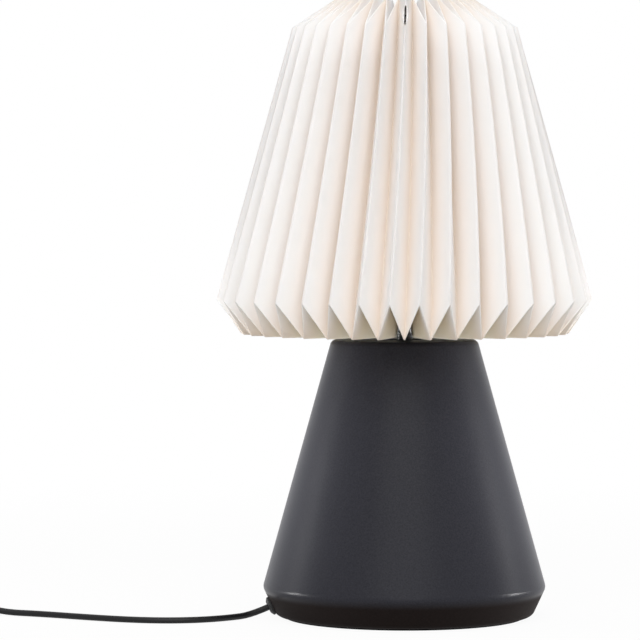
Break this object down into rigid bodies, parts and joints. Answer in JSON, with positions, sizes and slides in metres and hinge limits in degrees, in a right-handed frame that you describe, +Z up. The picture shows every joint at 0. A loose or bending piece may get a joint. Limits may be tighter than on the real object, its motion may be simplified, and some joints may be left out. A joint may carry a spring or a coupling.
{
  "type": "pleated table lamp",
  "caption": "Table lamp with a conical matte ceramic base and a pleated shade that lifts off its wire carrier, with a screw-in bulb, a cord switch and a plug.",
  "frame": {"origin": "centre of the foot on the surface that the lamp stands on", "axes": "+Z up along the lamp's axis, -Y towards the front seam of the shade, -X towards the cord"},
  "size_m": [0.4847, 0.227, 0.3721],
  "materials": {
    "ceramic_grey": "matte dark grey ceramic with a fine grain",
    "felt_black": "pressed felt",
    "board_black": "moulded sheet",
    "tube_black": "black lacquer",
    "zinc_steel": "zinc plated",
    "holder_black": "moulded thermoset",
    "holder_core_white": "white porcelain",
    "contact_brass": "bright brass",
    "carrier_white": "white powder coat",
    "shade_paper": "off-white pleated sheet",
    "gather_cord_grey": "twisted cord",
    "bulb_opal": "opal diffuser",
    "bulb_white": "white housing",
    "bulb_nickel": "nickel plated screw cap",
    "insulator_black": "black insulator",
    "cord_black": "black flexible sheath",
    "grommet_black": "black bushing",
    "fitting_black": "moulded black plug and switch",
    "rocker_black": "polished rocker",
    "tie_black": "woven hook and loop band"
  },
  "bodies": {
    "base": {"base_body": "ceramic_grey", "bottom_cover": "board_black", "felt_ring": "felt_black", "lamp_tube": "tube_black", "inner_washer": "zinc_steel", "inner_nut": "zinc_steel", "top_washer": "tube_black", "top_nut": "tube_black", "cord_grommet": "grommet_black", "inner_lead": "cord_black", "holder_cap": "holder_black", "holder_core": "holder_core_white", "holder_shell": "holder_black", "holder_screw_shell": "contact_brass", "holder_contact": "contact_brass", "shade_ring": "holder_black", "shade_carrier": "carrier_white", "cord_run": "cord_black", "cord_link": "cord_black", "cord_coil": "cord_black", "cord_tail": "cord_black", "cord_tie": "tie_black", "plug_body": "fitting_black", "plug_pins": "contact_brass", "switch_bottom": "fitting_black", "switch_top": "fitting_black", "switch_screws": "zinc_steel"},
    "shade": {"pleated_shade": "shade_paper", "gather_cord": "gather_cord_grey"},
    "bulb": {"bulb_contact": "contact_brass", "bulb_insulator": "insulator_black", "bulb_cap": "bulb_nickel", "bulb_housing": "bulb_white", "bulb_globe": "bulb_opal"},
    "rocker": {"switch_rocker": "rocker_black"}
  },
  "joints": [
    {"name": "shade_lift", "type": "slide", "parent": "base", "child": "shade", "axis": [0, 0, 1], "range_m": [0, 0.21]},
    {"name": "bulb_turn", "type": "hinge", "parent": "base", "child": "bulb", "pos_m": [0, 0, 0.24], "axis": [0, 0, 1], "range_deg": [0, 900]},
    {"name": "rocker_tilt", "type": "hinge", "parent": "base", "child": "rocker", "pos_m": [-0.303, 0.0015, 0.0115], "axis": [0, 1, 0], "range_deg": [0, 14]}
  ]
}
